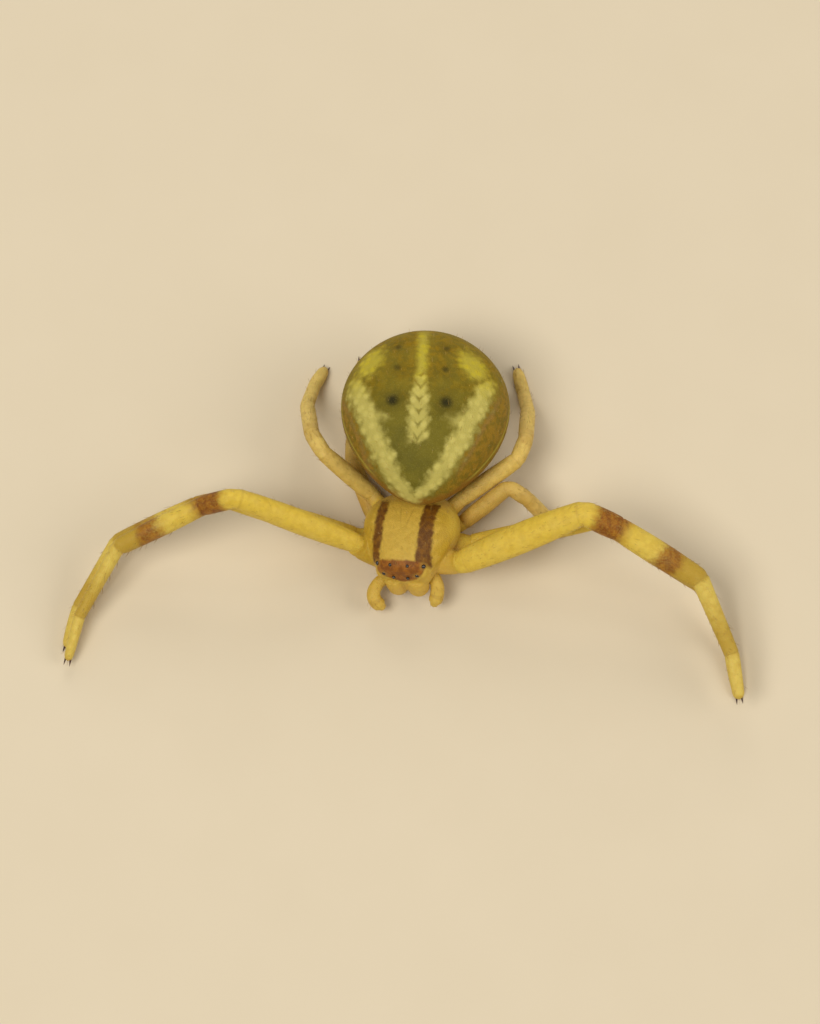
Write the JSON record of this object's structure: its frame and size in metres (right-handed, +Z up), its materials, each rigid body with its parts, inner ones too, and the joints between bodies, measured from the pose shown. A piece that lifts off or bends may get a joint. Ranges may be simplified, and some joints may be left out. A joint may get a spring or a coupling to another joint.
{
  "type": "crab spider",
  "caption": "Life-size crab spider standing with raised, widely spread front legs, a square-faced front body and a broad egg-shaped abdomen.",
  "frame": {"origin": "on the floor that the feet stand on, under the middle of the whole spider's bounding box", "axes": "+Z up, -Y the way the face points, +X the spider's own left, along the spread of the front legs"},
  "size_m": [0.025, 0.014, 0.0054],
  "materials": {
    "carapace": "smooth horny skin, golden tan with two brown stripes and a rusty band behind the face",
    "abdomen": "soft granular skin, olive green with a pale yellow V and a pale middle stripe",
    "leg": "translucent golden yellow skin, rusty patches on the front legs",
    "eye": "small black glossy bead"
  },
  "bodies": {
    "root": {"prosoma": "carapace", "abdomen": "abdomen", "leg_1_left": "leg", "leg_1_right": "leg", "leg_2_left": "leg", "leg_2_right": "leg", "leg_3_left": "leg", "leg_3_right": "leg", "leg_4_left": "leg", "leg_4_right": "leg", "palp_left": "leg", "palp_right": "leg", "chelicera_left": "carapace", "chelicera_right": "carapace", "eye_front_middle_left": "eye", "eye_front_middle_right": "eye", "eye_rear_middle_left": "eye", "eye_rear_middle_right": "eye", "eye_front_side_left": "eye", "eye_front_side_right": "eye", "eye_rear_side_left": "eye", "eye_rear_side_right": "eye"}
  },
  "joints": []
}
